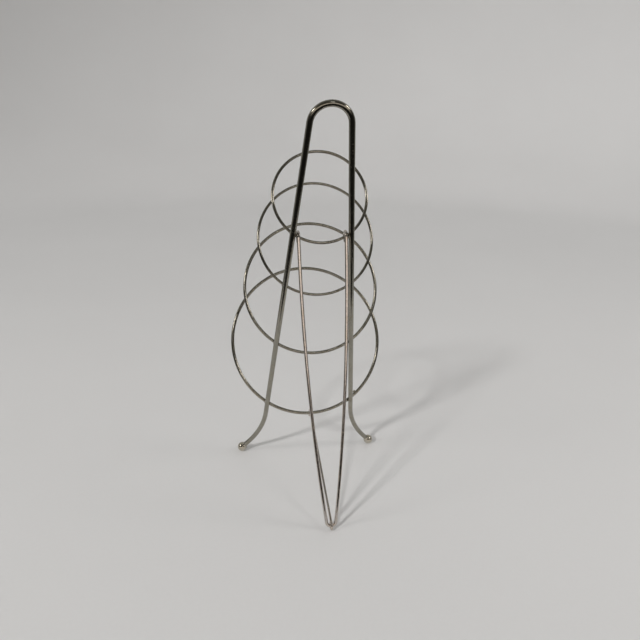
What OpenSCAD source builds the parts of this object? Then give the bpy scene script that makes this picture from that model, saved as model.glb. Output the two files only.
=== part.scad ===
// Folding wire stand with four round rings that grow downward.
// A round rod is bent to a handle bow and two splayed legs with ball feet.
// The rings are welded across the front of the legs. A hairpin prop hangs
// by two eyes from ring 1, and a thin brace ties its foot to ring 4.
// +Z up, rings on the -Y side, prop on the +Y side, origin on the floor
// under the centre of the whole stand.

/* [Frame rod] */
// Diameter of the frame rod
rod_d = 5.6; // [5:0.1:6]
// Length of the frame along its slope, floor to the bow's centre line
frame_len = 450; // [430:1:470]
// Lean of the frame from vertical, towards the prop
lean = 20; // [16:1:24]
// Half the distance between the leg lines where they meet the floor
base_half = 59.5; // [56:0.5:64]
// Radius of the handle bow, to the rod's centre line
bow_r = 17.5; // [15:0.5:20]
// Radius of the outward flare above each foot
flare_r = 110; // [100:1:120]
// Angle of the flared rod end from the frame's centre line
flare_angle = 40; // [36:0.5:44]
// Length of the straight rod end at each foot
rod_end_len = 8; // [7:0.5:10]
// Diameter of the ball feet
ball_d = 11.6; // [11:0.1:13]
// How far the rod end reaches past the ball's centre
ball_bore_past = 1.5; // [0:0.5:2]

/* [Rings] */
// Wire diameters of rings 1 to 4
ring_wire_d = [2.8, 2.8, 3.4, 3.8]; // [2.4:0.1:4]
// Radii of rings 1 to 4 to the wire's centre line, top to bottom
ring_r = [45, 58.5, 73.5, 90]; // [40:0.5:95]
// Places of rings 1 to 4, as distances up the legs
ring_at = [327, 266, 186, 87]; // [85:1:330]
// Lean of the rings from vertical, away from the prop
ring_tilt = 29; // [26:1:32]
// How deep each ring sinks into the rod at its welds
weld_sink = 0.3; // [0.2:0.05:0.5]
// Diameter of the weld beads
bead_d = 5; // [4.4:0.1:5.6]

/* [Prop] */
// Diameter of the prop wire
prop_wire_d = 3.4; // [3:0.1:3.8]
// Half the distance between the prop's two eyes
eye_half = 22.5; // [21:0.5:22.5]
// Radius of the eyes to the wire's centre line
eye_r = 4.4; // [4.3:0.1:5]
// Distance of the prop's foot behind the ball feet
prop_foot_y = 157; // [145:1:165]
// Sideways set of the prop's foot
prop_foot_x = -10; // [-12:0.5:12]
// Radius of the hairpin bend at the prop's foot
hairpin_r = 5; // [4.5:0.1:6]
// Radius of the slight outward bow of the prop's two sides
side_bow_r = 2600; // [2000:100:4000]

/* [Brace] */
// Diameter of the brace wire
brace_wire_d = 2.5; // [2.2:0.1:2.6]
// Radius of the brace's eye and hook to the wire's centre line
hook_r = 3.5; // [3.5:0.1:4]
// Sideways place of the hook on ring 4
hook_x = -1; // [-4:0.5:4]
// Length of the hook's straight tail
tail_len = 6; // [4:0.5:8]

/* [Hidden] */

// How much wider than the wire the balls are that join its stretches.
joint_extra = 0.06;
// Facets round a wire, round a bend or ring, and round the prop's long side arcs.
wire_fn = 32;
arc_fn = 180;
side_arc_fn = 1800;
// Facets round a joining ball or weld bead, and round a ball foot.
bead_fn = 48;
ball_fn = 96;

// Frame plane: x across, s up the slope from the floor.
bow_s = frame_len - bow_r;
splay = acos(bow_r / norm([base_half, bow_s])) - atan2(bow_s, base_half);
ball_s = ball_d / 2 / cos(lean);
flare_s = ball_s + rod_end_len * cos(flare_angle) + flare_r * (sin(flare_angle) - sin(splay));
flare_top = [leg_x(flare_s), flare_s];
flare_centre = flare_top + flare_r * [cos(splay), sin(splay)];
flare_end = flare_centre - flare_r * [cos(flare_angle), sin(flare_angle)];
rod_end_dir = [sin(flare_angle), -cos(flare_angle)];
ball_at = flare_end + rod_end_len * rod_end_dir;
rod_tip = ball_at + ball_bore_past * rod_end_dir;
leg_top = bow_r * [cos(splay), sin(splay)] + [0, bow_s];

// Half the distance between the leg centre lines at s up the slope.
function leg_x(s) = base_half - s * tan(splay);

// Centre (y, z) of ring i, set by its welds on the far side of the legs.
function ring_drop(i, x) = sqrt(pow(ring_r[i], 2) - x * x);
function weld_gap(i) = (rod_d + ring_wire_d[i]) / 2 - weld_sink;
function weld_yz(i) = ring_at[i] * [sin(lean), cos(lean)] + weld_gap(i) * [-cos(lean), sin(lean)];
function ring_yz(i) = weld_yz(i) + ring_drop(i, leg_x(ring_at[i])) * [-sin(ring_tilt), cos(ring_tilt)];
// Point (y, z) on the lower half of ring i at a sideways place x.
function ring_low_yz(i, x) = ring_yz(i) + ring_drop(i, x) * [sin(ring_tilt), -cos(ring_tilt)];

// Prop plane: x across, t up from the hairpin's lowest point.
pivot_yz = ring_low_yz(0, eye_half);
foot_yz = [prop_foot_y, hook_r + brace_wire_d / 2];
foot_to_pivot = pivot_yz - foot_yz;
prop_t = sqrt(pow(norm(foot_to_pivot), 2) - pow(eye_r, 2));
prop_lean = atan2(-foot_to_pivot[0], foot_to_pivot[1]) - asin(eye_r / norm(foot_to_pivot));
bend_centre = [prop_foot_x, hairpin_r];
// Centre of a side's long arc, which runs on smoothly from the hairpin bend.
function side_centre(side) =
    let (
        to_eye = [side * eye_half, prop_t] - bend_centre,
        reach = side_bow_r - hairpin_r,
        d = norm(to_eye),
        turn = acos((reach * reach + d * d - side_bow_r * side_bow_r) / (2 * d * reach)),
        a = atan2(to_eye[1], to_eye[0]) + side * turn
    ) bend_centre + reach * [cos(a), sin(a)];
function heading(from, to) = atan2(to[1] - from[1], to[0] - from[0]);
left_centre = side_centre(1);
right_centre = side_centre(-1);
left_low = heading(left_centre, bend_centre);
left_high = heading(left_centre, [eye_half, prop_t]);
right_low = 180 + heading(bend_centre, right_centre);
right_high = 180 + heading([-eye_half, prop_t], right_centre);
left_joint = bend_centre + hairpin_r * [cos(left_low), sin(left_low)];
right_joint = bend_centre + hairpin_r * [cos(right_low), sin(right_low)];
// An eye closes until its end almost meets the straight wire beside it.
end_gap = 0.2;
function closing_turn(r, d) = 360 - acos(1 - (d + end_gap) / r);

// Brace: a line from the hairpin bend to ring 4, with an eye and a hook.
hook_yz = ring_low_yz(3, hook_x);
foot_at = [prop_foot_x, foot_yz[0], foot_yz[1]];
brace_run = [hook_x, hook_yz[0], hook_yz[1]] - foot_at;
brace_heading = atan2(brace_run[1], brace_run[0]);
brace_rise = atan2(brace_run[2], norm([brace_run[0], brace_run[1]]));
brace_len = norm(brace_run);

// The origin lies under the middle of the whole stand.
front_y = ring_yz(3)[0] - ring_r[3] * sin(ring_tilt) - ring_wire_d[3] / 2;
back_y = max(prop_foot_y + hook_r + brace_wire_d / 2, frame_len * sin(lean) + rod_d / 2);
middle_y = (front_y + back_y) / 2;

rod_colour = [0.62, 0.61, 0.58];
ring_colour = [0.66, 0.65, 0.62];
prop_colour = [0.72, 0.70, 0.67];
ball_colour = [0.74, 0.73, 0.70];

// A ball where two stretches of wire meet, with its poles along the wire.
module wire_joint(at, d, along) {
    translate([at[0], at[1], 0])
        rotate([0, 0, along])
            rotate([0, 90, 0])
                sphere(d = d + joint_extra, $fn = bead_fn);
}

// Straight wire between two points of the drawing plane.
module wire_line(from, to, d) {
    translate([from[0], from[1], 0])
        rotate([0, 0, heading(from, to)])
            rotate([0, 90, 0])
                cylinder(h = norm(to - from), d = d, $fn = wire_fn);
}

// Curved wire of radius r about a centre in the drawing plane.
module wire_arc(centre, r, start, turn, d, fn = arc_fn) {
    translate([centre[0], centre[1], 0])
        rotate([0, 0, start])
            rotate_extrude(angle = turn, $fn = fn)
                translate([r, 0])
                    circle(d = d, $fn = wire_fn);
}

module placed() {
    translate([0, -middle_y, 0]) children();
}

// The sloping plane of the frame.
module frame_plane() {
    placed() rotate([90 - lean, 0, 0]) children();
}

// The plane of the prop, with the rings on its +Z side.
module prop_plane() {
    placed()
        translate([0, foot_yz[0], foot_yz[1]])
            rotate([90 + prop_lean, 0, 0])
                children();
}

module leg() {
    wire_joint(leg_top, rod_d, heading(leg_top, flare_top));
    wire_joint(flare_top, rod_d, heading(leg_top, flare_top));
    wire_joint(flare_end, rod_d, heading(flare_end, rod_tip));
    wire_line(leg_top, flare_top, rod_d);
    wire_arc(flare_centre, flare_r, 180 + splay, flare_angle - splay, rod_d);
    wire_line(flare_end, rod_tip, rod_d);
}

module frame_rod() {
    color(rod_colour)
        frame_plane() union() {
            wire_arc([0, bow_s], bow_r, splay, 180 - 2 * splay, rod_d);
            leg();
            mirror([1, 0, 0]) leg();
        }
}

// A ball with a blind hole for the rod's end.
module ball_foot() {
    color(ball_colour)
        difference() {
            translate([ball_at[0], ball_at[1], 0]) sphere(d = ball_d, $fn = ball_fn);
            wire_line(rod_tip, ball_at - ball_d * rod_end_dir, rod_d);
        }
}

module ball_foot_left() {
    frame_plane() mirror([1, 0, 0]) ball_foot();
}

module ball_foot_right() {
    frame_plane() ball_foot();
}

module ring(i) {
    color(ring_colour)
        placed()
            translate([0, ring_yz(i)[0], ring_yz(i)[1]])
                rotate([90 + ring_tilt, 0, 0])
                    rotate_extrude($fn = arc_fn)
                        translate([ring_r[i], 0])
                            circle(d = ring_wire_d[i], $fn = wire_fn);
}

// Two beads where ring i crosses the legs.
module ring_welds(i) {
    bead_yz = weld_yz(i) - (ring_wire_d[i] - weld_sink) / 2 * [-cos(lean), sin(lean)];
    color(rod_colour)
        placed()
            for (side = [-1, 1])
                translate([side * leg_x(ring_at[i]), bead_yz[0], bead_yz[1]])
                    sphere(d = bead_d, $fn = bead_fn);
}

// Eye round ring 1 at the upper end of one side of the prop.
module prop_eye(side, high) {
    translate([side * eye_half, prop_t, 0])
        rotate([0, 0, high + (side > 0 ? 0 : 180)])
            rotate([90, 0, 90])
                wire_arc([0, eye_r], eye_r, -90, closing_turn(eye_r, prop_wire_d), prop_wire_d);
}

module prop() {
    color(prop_colour)
        prop_plane() union() {
            wire_joint(left_joint, prop_wire_d, left_low + 90);
            wire_joint(right_joint, prop_wire_d, right_low + 90);
            wire_joint([eye_half, prop_t], prop_wire_d, left_high + 90);
            wire_joint([-eye_half, prop_t], prop_wire_d, right_high + 90);
            wire_arc(left_centre, side_bow_r, left_low, left_high - left_low, prop_wire_d, side_arc_fn);
            wire_arc(right_centre, side_bow_r, right_high, right_low - right_high, prop_wire_d, side_arc_fn);
            wire_arc(bend_centre, hairpin_r, right_low, 360 + left_low - right_low, prop_wire_d);
            prop_eye(1, left_high);
            prop_eye(-1, right_high);
        }
}

module brace() {
    color(prop_colour)
        placed()
            translate(foot_at)
                rotate([0, 0, brace_heading])
                    rotate([0, -brace_rise, 0])
                        rotate([90, 0, 0]) union() {
                            wire_joint([0, hook_r], brace_wire_d, 0);
                            wire_joint([brace_len, hook_r], brace_wire_d, 0);
                            wire_arc([0, 0], hook_r, 90, closing_turn(hook_r, brace_wire_d), brace_wire_d);
                            wire_line([0, hook_r], [brace_len, hook_r], brace_wire_d);
                            wire_arc([brace_len, 0], hook_r, -brace_rise, 90 + brace_rise, brace_wire_d);
                            brace_tail();
                        }
}

// The hook's tail hangs straight down in front of ring 4.
module brace_tail() {
    tail_top = [brace_len, 0] + hook_r * [cos(brace_rise), -sin(brace_rise)];
    tail_end = tail_top - tail_len * [sin(brace_rise), cos(brace_rise)];
    wire_joint(tail_top, brace_wire_d, heading(tail_top, tail_end));
    wire_line(tail_top, tail_end, brace_wire_d);
}

frame_rod();
ball_foot_left();
ball_foot_right();
ring(0);  // ring_1
ring(1);  // ring_2
ring(2);  // ring_3
ring(3);  // ring_4
ring_welds(0);  // ring_1_welds
ring_welds(1);  // ring_2_welds
ring_welds(2);  // ring_3_welds
ring_welds(3);  // ring_4_welds
prop();
brace();
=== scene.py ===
import math
import bpy
import bmesh
from mathutils import Matrix, Vector, noise


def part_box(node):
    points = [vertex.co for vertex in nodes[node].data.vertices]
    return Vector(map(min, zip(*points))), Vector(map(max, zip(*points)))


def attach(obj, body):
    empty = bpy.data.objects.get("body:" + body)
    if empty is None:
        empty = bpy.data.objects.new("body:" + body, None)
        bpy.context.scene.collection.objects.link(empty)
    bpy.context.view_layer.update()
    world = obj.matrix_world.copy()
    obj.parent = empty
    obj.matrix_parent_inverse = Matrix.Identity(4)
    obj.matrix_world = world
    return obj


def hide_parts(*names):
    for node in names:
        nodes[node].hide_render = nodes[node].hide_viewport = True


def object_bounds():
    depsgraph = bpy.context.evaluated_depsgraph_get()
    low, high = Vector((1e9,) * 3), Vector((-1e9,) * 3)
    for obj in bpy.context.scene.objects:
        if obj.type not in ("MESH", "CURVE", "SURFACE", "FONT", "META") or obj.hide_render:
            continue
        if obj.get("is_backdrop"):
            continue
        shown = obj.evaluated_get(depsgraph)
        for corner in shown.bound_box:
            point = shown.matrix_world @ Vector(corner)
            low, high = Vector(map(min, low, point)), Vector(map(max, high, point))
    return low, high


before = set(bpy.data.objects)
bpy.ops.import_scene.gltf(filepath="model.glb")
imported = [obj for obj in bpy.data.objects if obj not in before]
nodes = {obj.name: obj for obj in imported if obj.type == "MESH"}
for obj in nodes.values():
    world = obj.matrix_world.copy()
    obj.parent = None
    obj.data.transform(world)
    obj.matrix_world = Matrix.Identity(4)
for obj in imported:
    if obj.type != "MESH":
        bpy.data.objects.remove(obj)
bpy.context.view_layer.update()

scene = bpy.context.scene


# ---------------------------------------------------------------- shader helpers
def new_mat(name):
    m = bpy.data.materials.new(name)
    m.use_nodes = True
    t = m.node_tree
    t.nodes.clear()
    out = t.nodes.new("ShaderNodeOutputMaterial")
    bsdf = t.nodes.new("ShaderNodeBsdfPrincipled")
    t.links.new(bsdf.outputs[0], out.inputs[0])
    return m, t, bsdf


def object_coords(t, offset=(0, 0, 0), scale=(1, 1, 1)):
    tc = t.nodes.new("ShaderNodeTexCoord")
    mp = t.nodes.new("ShaderNodeMapping")
    mp.inputs["Location"].default_value = offset
    mp.inputs["Scale"].default_value = scale
    t.links.new(tc.outputs["Object"], mp.inputs["Vector"])
    return mp.outputs["Vector"]


def noise_tex(t, vec, scale, detail=4.0, rough=0.55):
    n = t.nodes.new("ShaderNodeTexNoise")
    n.inputs["Scale"].default_value = scale
    n.inputs["Detail"].default_value = detail
    n.inputs["Roughness"].default_value = rough
    t.links.new(vec, n.inputs["Vector"])
    return n.outputs["Fac"]


def ramp(t, fac, stops):
    r = t.nodes.new("ShaderNodeValToRGB")
    el = r.color_ramp.elements
    while len(el) < len(stops):
        el.new(0.5)
    for e, (p, c) in zip(el, stops):
        e.position = p
        e.color = (*c, 1)
    t.links.new(fac, r.inputs["Fac"])
    return r.outputs["Color"]


def mix(t, fac, a, b, mode="MIX"):
    m = t.nodes.new("ShaderNodeMix")
    m.data_type = "RGBA"
    m.blend_type = mode
    for sock, val in ((m.inputs[0], fac), (m.inputs[6], a), (m.inputs[7], b)):
        if isinstance(val, (int, float)):
            sock.default_value = val
        elif isinstance(val, tuple):
            sock.default_value = (*val, 1)
        else:
            t.links.new(val, sock)
    return m.outputs[2]


def maths(t, op, a, b=None, c=None, clamp=False):
    m = t.nodes.new("ShaderNodeMath")
    m.operation = op
    m.use_clamp = clamp
    for k, v in enumerate((a, b, c)):
        if v is None:
            continue
        if isinstance(v, (int, float)):
            m.inputs[k].default_value = v
        else:
            t.links.new(v, m.inputs[k])
    return m.outputs[0]


def grey(v):
    return (v, v, v)


def scaled(c, k):
    return tuple(v * k for v in c)


# ---------------------------------------------------------------- metal
BARE_STEEL = (0.085, 0.058, 0.038)


def plated(name, tone, rough, wear, seed):
    """Old bright plate: cloudy tarnish, water marks, fine pits that show the steel, and a soft ripple."""
    m, t, b = new_mat(name)
    v = object_coords(t, (seed, seed * 1.7, -seed))
    cloud = noise_tex(t, v, 30, 5, 0.6)
    marks = noise_tex(t, v, 120, 5, 0.65)
    mottle = noise_tex(t, v, 420, 4, 0.6)
    pits = noise_tex(t, v, 1100, 2, 0.5)
    fine = noise_tex(t, v, 3200, 2, 0.5)
    yellow = (tone[0] * 0.80, tone[1] * 0.74, tone[2] * 0.58)
    base = ramp(t, cloud, [(0.32, scaled(tone, 0.72)), (0.50, tone), (0.72, scaled(tone, 1.16))])
    stain = maths(t, "MULTIPLY", ramp(t, marks, [(0.50, grey(0)), (0.64, grey(1))]), 0.55)
    base = mix(t, stain, base, yellow)
    base = mix(t, 0.30, base, ramp(t, mottle, [(0.36, scaled(tone, 0.60)), (0.62, scaled(tone, 1.10))]))
    spots = ramp(t, pits, [(0.64, grey(0)), (0.72, grey(1))])
    zones = ramp(t, marks, [(0.47, grey(0)), (0.60, grey(1))])
    bare = maths(t, "MULTIPLY", maths(t, "MULTIPLY", spots, zones), wear, clamp=True)
    base = mix(t, bare, base, BARE_STEEL)
    t.links.new(base, b.inputs["Base Color"])
    b.inputs["Metallic"].default_value = 1.0
    b.inputs["IOR"].default_value = 2.0
    r = maths(t, "MULTIPLY_ADD", cloud, 0.14, rough - 0.05)
    r = maths(t, "MULTIPLY_ADD", marks, 0.10, r)
    r = maths(t, "MULTIPLY_ADD", bare, 0.40, r, clamp=True)
    t.links.new(r, b.inputs["Roughness"])
    ripple = t.nodes.new("ShaderNodeBump")
    ripple.inputs["Strength"].default_value = 0.16
    ripple.inputs["Distance"].default_value = 0.0004
    t.links.new(marks, ripple.inputs["Height"])
    grain = t.nodes.new("ShaderNodeBump")
    grain.inputs["Strength"].default_value = 0.07
    grain.inputs["Distance"].default_value = 0.0001
    t.links.new(fine, grain.inputs["Height"])
    t.links.new(ripple.outputs["Normal"], grain.inputs["Normal"])
    pit = t.nodes.new("ShaderNodeBump")
    pit.invert = True
    pit.inputs["Strength"].default_value = 0.35
    pit.inputs["Distance"].default_value = 0.00012
    t.links.new(bare, pit.inputs["Height"])
    t.links.new(grain.outputs["Normal"], pit.inputs["Normal"])
    t.links.new(pit.outputs["Normal"], b.inputs["Normal"])
    return m


FRAME_M = plated("plate_frame", (0.355, 0.338, 0.29), 0.09, 0.85, 0.0)
RING_M = plated("plate_ring", (0.365, 0.348, 0.30), 0.09, 0.85, 3.1)
PROP_M = plated("plate_prop", (0.66, 0.61, 0.57), 0.11, 0.6, 7.7)
BALL_M = plated("plate_ball", (0.62, 0.585, 0.51), 0.09, 0.5, 5.3)
WELD_M = plated("plate_weld", (0.33, 0.305, 0.25), 0.30, 1.0, 9.9)


def dress(name, mat):
    o = nodes[name]
    o.data.materials.clear()
    o.data.materials.append(mat)


dress("frame_rod", FRAME_M)
for k in (1, 2, 3, 4):
    dress(f"ring_{k}", RING_M)
    dress(f"ring_{k}_welds", WELD_M)
dress("prop", PROP_M)
dress("brace", PROP_M)
for s in ("left", "right"):
    dress(f"ball_foot_{s}", BALL_M)


# ---------------------------------------------------------------- mesh helpers
def points(name):
    return [v.co.copy() for v in nodes[name].data.vertices]


def mean(vs):
    return sum(vs, Vector()) / len(vs)


def smooth_object(name, bm, mat):
    bm.normal_update()
    me = bpy.data.meshes.new(name)
    bm.to_mesh(me)
    bm.free()
    for p in me.polygons:
        p.use_smooth = True
    me.materials.append(mat)
    o = bpy.data.objects.new(name, me)
    scene.collection.objects.link(o)
    return o


def add_piece(name, bm, mat, body):
    o = smooth_object(name, bm, mat)
    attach(o, body)
    return o


def frame_of(axis):
    axis = axis.normalized()
    side = axis.orthogonal().normalized()
    return side, axis.cross(side), axis


def revolve(bm, at, axis, profile, n=40, rough=0.0, seed=0):
    """Skin turned about an axis; profile is (along, radius) pairs, closed at both ends."""
    e1, e2, e3 = frame_of(axis)
    rings = []
    for along, r in profile:
        row = []
        for k in range(n):
            a = 2 * math.pi * k / n
            d = e1 * math.cos(a) + e2 * math.sin(a)
            p = at + e3 * along + d * r
            wob = noise.noise(p * 900 + Vector((seed, 0, 0)))
            row.append(bm.verts.new(p + d * (rough * wob)))
        rings.append(row)
    for a, b in zip(rings, rings[1:]):
        for k in range(n):
            bm.faces.new((a[k], a[(k + 1) % n], b[(k + 1) % n], b[k]))
    for row, flip in ((rings[0], True), (rings[-1], False)):
        centre = bm.verts.new(mean([v.co for v in row]))
        for k in range(n):
            pair = (row[k], row[(k + 1) % n])
            bm.faces.new((*(reversed(pair) if flip else pair), centre))


def blob(bm, at, axes, radii, rough, seed):
    """Uneven bead of weld metal: a rounded lump with shallow lobes and a fine skin."""
    made = bmesh.ops.create_icosphere(bm, subdivisions=4, radius=1.0)["verts"]
    e1, e2, e3 = axes
    shift = Vector((seed * 3.7, seed * 1.3, -seed * 2.1))
    for v in made:
        d = v.co.normalized()
        k = 1.0 + rough * noise.noise(d * 1.7 + shift) + 0.35 * rough * noise.noise(d * 5.0 + shift)
        v.co = at + (e1 * (d.x * radii[0]) + e2 * (d.y * radii[1]) + e3 * (d.z * radii[2])) * k


# ---------------------------------------------------------------- rings: where each one lies
def wire_ring(k):
    """Centre, plane axes, mean radius and wire radius of ring k, from its box and its mesh."""
    pts = points(f"ring_{k}")
    low = min(pts, key=lambda p: p.z)
    high = max(pts, key=lambda p: p.z)
    lo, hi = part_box(f"ring_{k}")
    c = (lo + hi) / 2
    up = high - low
    up.x = 0
    up.normalize()
    across = Vector((1, 0, 0))
    reach = [abs((p - c).dot(up.cross(across))) for p in pts]
    wire = max(reach)
    return c, across, up, (hi.x - lo.x) / 2 - wire, wire


def ring_point(k, deg):
    """Point on ring k's centre line and the wire's direction there; 0 is down, angles run towards -X."""
    c, across, up, radius, _ = wire_ring(k)
    a = math.radians(deg)
    at = c - (up * math.cos(a) + across * math.sin(a)) * radius
    along = (up * math.sin(a) - across * math.cos(a)).normalized()
    return at, along


# ---------------------------------------------------------------- weld metal
for k in (1, 2, 3, 4):
    pts = points(f"ring_{k}_welds")
    _, across, up, _, _ = wire_ring(k)
    half = (max(p.z for p in pts) - min(p.z for p in pts)) / 2
    bm = bmesh.new()
    for side in (-1, 1):
        at = mean([p for p in pts if p.x * side > 0])
        axes = frame_of(across + up * (0.45 * side))
        blob(bm, at, axes, (half * 0.97, half * 1.02, half * 1.12), 0.16, k * 2 + side)
    beads = add_piece(f"weld_beads_{k}", bm, WELD_M, "rack")
    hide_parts(f"ring_{k}_welds")

# ---------------------------------------------------------------- butt welds that close the rings
# Profiles are (along, out from the wire) in millimetres; their ends sink under the skin.
SEAM_PROFILE = [(-1.35, -0.03), (-1.05, 0.03), (-0.75, 0.07), (-0.45, 0.15), (-0.2, 0.20), (0.0, 0.13),
                (0.2, 0.19), (0.45, 0.14), (0.8, 0.06), (1.1, 0.02), (1.4, -0.03)]
COLLAR_PROFILE = [(-0.30, 0.55), (0.02, 0.62), (0.22, 0.48), (0.45, 0.30), (0.75, 0.17), (1.15, 0.08),
                  (1.6, 0.02), (1.9, -0.06)]

for k, deg in ((1, 40.5), (2, 37.5), (3, 36.5), (4, 40.5)):
    at, along = ring_point(k, deg)
    wire = wire_ring(k)[4]
    bm = bmesh.new()
    revolve(bm, at, along, [(a / 1000, wire + r / 1000) for a, r in SEAM_PROFILE], 48, 0.00009, k)
    add_piece(f"ring_seam_{k}", bm, WELD_M, "rack")

# ---------------------------------------------------------------- collars where the rod enters each ball
for s, side in (("left", -1), ("right", 1)):
    lo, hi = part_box(f"ball_foot_{s}")
    c = (lo + hi) / 2
    ball = (hi.z - lo.z) / 2
    near = [p for p in points("frame_rod") if ball * 1.05 < (p - c).length < ball * 1.8]
    axis = (mean(near) - c).normalized()
    rod = max((p - mean(near) - axis * (p - mean(near)).dot(axis)).length for p in near)
    start = math.sqrt(ball ** 2 - rod ** 2)
    bm = bmesh.new()
    profile = [(start + a / 1000, rod + r / 1000) for a, r in COLLAR_PROFILE]
    revolve(bm, c, axis, profile, 56, 0.00007, 5 + side)
    add_piece(f"foot_collar_{s}", bm, BALL_M, "rack")

# ---------------------------------------------------------------- rounded tip of the hook's tail
pts = points("brace")
lo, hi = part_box("brace")
hook = [p for p in pts if p.y < lo.y + (hi.y - lo.y) * 0.12]
low = min(p.z for p in hook)
tip = mean([p for p in hook if p.z < low + 0.00002])
end_x = [p.x for p in hook if p.z < low + 0.0005]
tail = (max(end_x) - min(end_x)) / 2
bm = bmesh.new()
revolve(bm, tip, Vector((0, 0, -1)),
        [(-0.0009, tail * 0.99), (-0.0006, tail + 0.00003), (-0.0001, tail + 0.00004), (0.0002, tail * 0.95),
         (0.00042, tail * 0.80), (0.00058, tail * 0.55), (0.00066, tail * 0.25)], 40, 0.00003, 21)
add_piece("brace_tail_tip", bm, PROP_M, "brace")


# ---------------------------------------------------------------- stage
def stage_mat(name, col, rough):
    m, t, b = new_mat(name)
    v = object_coords(t)
    n = noise_tex(t, v, 2.2, 4, 0.5)
    fine = noise_tex(t, v, 260, 3, 0.6)
    base = ramp(t, n, [(0.30, scaled(col, 0.965)), (0.70, col)])
    base = mix(t, 0.25, base, ramp(t, fine, [(0.35, scaled(col, 0.96)), (0.65, col)]))
    t.links.new(base, b.inputs["Base Color"])
    b.inputs["Roughness"].default_value = rough
    return m


STAGE_M = stage_mat("stage_white", (0.70, 0.70, 0.70), 0.6)


def add_stage(name, bm):
    o = smooth_object(name, bm, STAGE_M)
    o.visible_shadow = False
    o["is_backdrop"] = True
    return o


# The table top that the metal mirrors.
bm = bmesh.new()
TABLE = ((-0.42, -0.30, 0), (0.36, -0.30, 0), (0.36, 0.15, 0), (-0.42, 0.15, 0))
bm.faces.new([bm.verts.new(p) for p in TABLE])
add_stage("table_top", bm)

# A wide floor that curves up into a wall all round.
bm = bmesh.new()
FLOOR_R, CURVE_R, WALL_TOP, BELOW_TABLE = 1.9, 0.9, 4.2, 0.0004
outline = [(0.001, 0), (FLOOR_R, 0)]
for deg in range(6, 91, 6):
    a = math.radians(deg)
    outline.append((FLOOR_R + CURVE_R * math.sin(a), CURVE_R - CURVE_R * math.cos(a)))
outline.append((FLOOR_R + CURVE_R, WALL_TOP))
rows = []
for r, z in outline:
    rows.append([bm.verts.new((r * math.cos(math.radians(a)), r * math.sin(math.radians(a)), z - BELOW_TABLE))
                 for a in range(0, 360, 5)])
for a, b in zip(rows, rows[1:]):
    for k in range(len(a)):
        bm.faces.new((a[k], a[(k + 1) % len(a)], b[(k + 1) % len(a)], b[k]))
bm.faces.new(rows[0])
cove = add_stage("cove", bm)
cove.visible_glossy = False

# ---------------------------------------------------------------- camera
cam_data = bpy.data.cameras.new("camera")
cam = bpy.data.objects.new("camera", cam_data)
scene.collection.objects.link(cam)
cam_data.sensor_fit = "HORIZONTAL"
cam_data.sensor_width = 36.0
FOCAL_PX, IMAGE_PX = 560.0, 640.0
cam_data.lens = cam_data.sensor_width * FOCAL_PX / IMAGE_PX
cam_data.clip_start = 0.01
cam_data.clip_end = 30
fwd = Vector((-0.130007, -0.921174, -0.366792)).normalized()
right = Vector((-0.991064, 0.131862, 0.020113))
right = (right - fwd * right.dot(fwd)).normalized()
up = right.cross(fwd)
eye = Vector((0.0725, 0.569945, 0.4255))
cam.matrix_world = Matrix((
    (right.x, up.x, -fwd.x, eye.x),
    (right.y, up.y, -fwd.y, eye.y),
    (right.z, up.z, -fwd.z, eye.z),
    (0, 0, 0, 1),
))
scene.camera = cam
scene.view_settings.view_transform = "Standard"


# ---------------------------------------------------------------- light
def aim(o, loc, look):
    o.location = loc
    o.rotation_euler = (Vector(look) - Vector(loc)).to_track_quat("-Z", "Y").to_euler()


def area(name, loc, look, size, power, col=(1, 1, 1), glossy=True):
    d = bpy.data.lights.new(name, "AREA")
    d.energy = power
    d.color = col
    d.size = size
    o = bpy.data.objects.new(name, d)
    scene.collection.objects.link(o)
    o.visible_glossy = glossy
    aim(o, loc, look)
    return o


sun = bpy.data.lights.new("key", "SUN")
sun.energy = 1.47
sun.angle = math.radians(6)
sun.color = (1.0, 0.985, 0.97)
key = bpy.data.objects.new("key", sun)
scene.collection.objects.link(key)
key.visible_glossy = False
aim(key, (1.0, 0.98, 1.015), (0, 0, 0))

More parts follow.
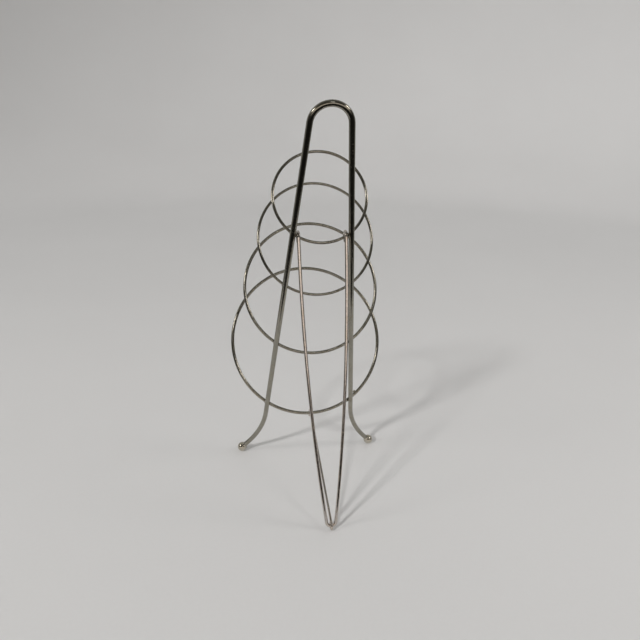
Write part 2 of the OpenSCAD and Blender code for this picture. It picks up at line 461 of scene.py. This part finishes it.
area("softbox", (-0.19, 1.25, 1.20), (0, 0, 0.2), 0.24, 0.55, (1.0, 0.98, 0.95))
area("lamp", (1.15, 0.35, 0.95), (0, 0, 0.3), 0.28, 3.0, (1.0, 0.96, 0.93))
area("window", (-1.15, 0.35, 1.05), (0, 0, 0.3), 0.34, 3.2, (1.0, 0.96, 0.93))

fill_data = bpy.data.lights.new("fill", "SUN")
fill_data.energy = 0.38
fill_data.use_shadow = False
fill = bpy.data.objects.new("fill", fill_data)
scene.collection.objects.link(fill)
fill.visible_glossy = False
aim(fill, (-0.55, -1.0, 0.75), (0, 0, 0))

world = bpy.data.worlds.new("studio")
scene.world = world
world.use_nodes = True
wt = world.node_tree
wt.nodes.clear()
w_out = wt.nodes.new("ShaderNodeOutputWorld")
w_bg = wt.nodes.new("ShaderNodeBackground")
w_tc = wt.nodes.new("ShaderNodeTexCoord")
w_xyz = wt.nodes.new("ShaderNodeSeparateXYZ")
wt.links.new(w_tc.outputs["Generated"], w_xyz.inputs[0])
wall = ramp(wt, maths(wt, "MULTIPLY_ADD", w_xyz.outputs["Y"], 0.5, 0.5),
            [(0.0, (0.36, 0.36, 0.35)), (0.34, (0.32, 0.32, 0.31)), (0.50, (0.09, 0.09, 0.085)),
             (0.60, (0.020, 0.019, 0.017)), (1.0, (0.015, 0.014, 0.012))])
ceiling = ramp(wt, w_xyz.outputs["Z"], [(0.22, grey(0.0)), (0.42, (0.055, 0.053, 0.045)),
                                        (0.80, (0.070, 0.068, 0.062)), (1.0, grey(0.08))])
# A pale wall of the room on the prop's side, at eye level.
height = ramp(wt, maths(wt, "MULTIPLY_ADD", w_xyz.outputs["Z"], 0.5, 0.5),
              [(0.385, grey(0.0)), (0.405, grey(1.0)), (0.560, grey(1.0)), (0.60, grey(0.0))])
width = ramp(wt, w_xyz.outputs["Y"], [(0.58, grey(0.0)), (0.72, grey(1.0))])
glow = mix(wt, 1.0, mix(wt, 1.0, height, width, "MULTIPLY"), (1.0, 0.91, 0.83), "MULTIPLY")
wall = mix(wt, 1.0, wall, glow, "ADD")
seen = mix(wt, 1.0, wall, ceiling, "ADD")
wt.links.new(seen, w_bg.inputs[0])
w_bg.inputs[1].default_value = 1.0
wt.links.new(w_bg.outputs[0], w_out.inputs[0])

lo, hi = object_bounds()
